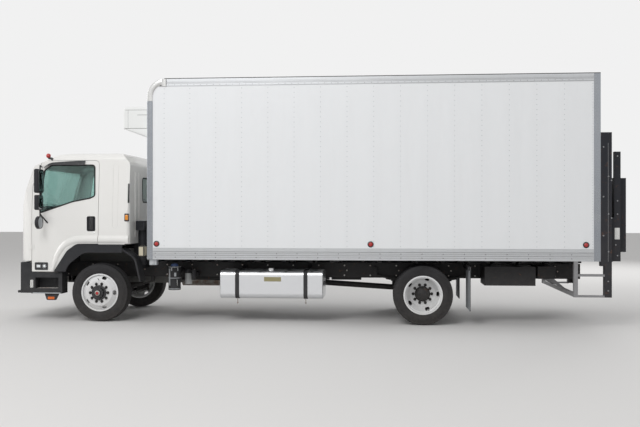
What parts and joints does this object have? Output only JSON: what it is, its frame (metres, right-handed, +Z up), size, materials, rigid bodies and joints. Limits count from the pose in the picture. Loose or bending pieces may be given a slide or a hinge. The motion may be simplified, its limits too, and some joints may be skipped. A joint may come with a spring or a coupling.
{
  "type": "refrigerated truck",
  "caption": "Medium duty refrigerated truck with a tilting cab, insulated box body, cooling unit and folding rail lift gate.",
  "frame": {"origin": "middle of the truck's outline on the ground", "axes": "+Z up, -X forwards, -Y towards the left side with the driver"},
  "size_m": [9.552, 2.9, 3.8029],
  "materials": {
    "frame_black": "satin black chassis paint",
    "cast_block": "dull cast",
    "tank_metal": "bright rolled",
    "dark_trim": "dark grained plastic",
    "dull_steel": "heat dulled",
    "cab_white": "gloss white",
    "clear_lens": "clear lens",
    "red_lens": "moulded red lens",
    "amber_lens": "moulded amber lens",
    "unit_white": "white moulded skin",
    "gate_steel": "worn black with rust",
    "step_steel": "worn grey",
    "body_metal": "polished extrusions",
    "body_white": "white prepainted sheet",
    "floor_metal": "worn floor",
    "tinted_glass": "green tint",
    "cab_plastic": "grained grey",
    "seat_fabric": "woven cloth",
    "wheel_white": "white enamel with road dirt",
    "tyre_rubber": "dusty rubber"
  },
  "bodies": {
    "chassis": {"frame_rails": "frame_black", "cross_members": "frame_black", "front_axle": "frame_black", "rear_axle": "frame_black", "leaf_springs": "frame_black", "engine": "cast_block", "driveshaft": "frame_black", "fuel_tank": "tank_metal", "tank_straps": "dark_trim", "air_equipment": "dark_trim", "exhaust": "dull_steel", "chassis_boxes": "frame_black", "bumper": "cab_white", "bumper_ends": "dark_trim", "headlamps": "clear_lens", "body_lamps": "red_lens", "step_boxes": "dark_trim", "splash_guards": "dark_trim", "refrigeration_unit": "unit_white", "gate_columns": "gate_steel", "rear_steps": "step_steel", "side_frames": "body_metal", "side_walls": "body_white", "front_wall": "body_white", "cargo_roof": "body_white", "cargo_floor": "floor_metal", "rear_frame": "body_metal", "roll_up_door": "body_white", "floor_sills": "frame_black"},
    "cab": {"cab_roof": "cab_white", "cab_front": "cab_white", "cab_sides": "cab_white", "cab_back": "cab_white", "cab_floor": "dark_trim", "cab_glass": "tinted_glass", "cab_lamps": "amber_lens", "dashboard": "cab_plastic", "steering_wheel": "cab_plastic", "seats": "seat_fabric", "fender_flares": "dark_trim"},
    "door_left": {"door_left": "cab_white", "door_glass_left": "tinted_glass", "mirror_left": "dark_trim"},
    "door_right": {"door_right": "cab_white", "door_glass_right": "tinted_glass", "mirror_right": "dark_trim"},
    "knuckle_left": {"knuckle_left": "frame_black"},
    "knuckle_right": {"knuckle_right": "frame_black"},
    "tie_rod": {"tie_rod": "frame_black"},
    "front_wheel_left": {"wheel_front_left": "wheel_white", "tyre_front_left": "tyre_rubber"},
    "front_wheel_right": {"wheel_front_right": "wheel_white", "tyre_front_right": "tyre_rubber"},
    "rear_wheels_left": {"wheels_rear_left": "wheel_white", "tyres_rear_left": "tyre_rubber"},
    "rear_wheels_right": {"wheels_rear_right": "wheel_white", "tyres_rear_right": "tyre_rubber"},
    "gate_carriage": {"gate_carriage": "gate_steel"},
    "gate_platform": {"gate_platform": "gate_steel"},
    "gate_ramp": {"gate_ramp": "gate_steel"}
  },
  "joints": [
    {"name": "steer_left", "type": "hinge", "parent": "chassis", "child": "knuckle_left", "pos_m": [-3.356, -0.89, 0.46], "axis": [0, 0, 1], "range_deg": [-35, 35]},
    {"name": "steer_right", "type": "hinge", "parent": "chassis", "child": "knuckle_right", "pos_m": [-3.356, 0.89, 0.46], "axis": [0, 0, 1], "range_deg": [-35, 35]},
    {"name": "tie_rod_pivot", "type": "hinge", "parent": "knuckle_left", "child": "tie_rod", "pos_m": [-3.186, -0.89, 0.3415], "axis": [0, 0, 1], "range_deg": [-35, 35]},
    {"name": "front_left_spin", "type": "hinge", "parent": "knuckle_left", "child": "front_wheel_left", "pos_m": [-3.356, -1.03, 0.46], "axis": [0, 1, 0], "continuous": true},
    {"name": "front_right_spin", "type": "hinge", "parent": "knuckle_right", "child": "front_wheel_right", "pos_m": [-3.356, 1.03, 0.46], "axis": [0, 1, 0], "continuous": true},
    {"name": "rear_left_spin", "type": "hinge", "parent": "chassis", "child": "rear_wheels_left", "pos_m": [1.724, -0.925, 0.46], "axis": [0, 1, 0], "continuous": true},
    {"name": "rear_right_spin", "type": "hinge", "parent": "chassis", "child": "rear_wheels_right", "pos_m": [1.724, 0.925, 0.46], "axis": [0, 1, 0], "continuous": true},
    {"name": "cab_tilt", "type": "hinge", "parent": "chassis", "child": "cab", "pos_m": [-4.646, 0, 0.94], "axis": [0, -1, 0], "range_deg": [0, 45]},
    {"name": "door_left_hinge", "type": "hinge", "parent": "cab", "child": "door_left", "pos_m": [-4.474, -1.136, 1.6], "axis": [0, 0, -1], "range_deg": [0, 70]},
    {"name": "door_right_hinge", "type": "hinge", "parent": "cab", "child": "door_right", "pos_m": [-4.474, 1.136, 1.6], "axis": [0, 0, 1], "range_deg": [0, 70]},
    {"name": "gate_lift", "type": "slide", "parent": "chassis", "child": "gate_carriage", "axis": [0, 0, 1], "range_m": [-0.93, 0.1]},
    {"name": "platform_fold", "type": "hinge", "parent": "gate_carriage", "child": "gate_platform", "pos_m": [4.604, 0, 1.013], "axis": [0, 1, 0], "range_deg": [0, 90]},
    {"name": "ramp_fold", "type": "hinge", "parent": "gate_platform", "child": "gate_ramp", "pos_m": [4.675, 0, 2.252], "axis": [0, -1, 0], "range_deg": [0, 180]}
  ],
  "couplings": [
    {"joint": "steer_right", "follows": "steer_left", "ratio": 1},
    {"joint": "tie_rod_pivot", "follows": "steer_left", "ratio": -1}
  ]
}
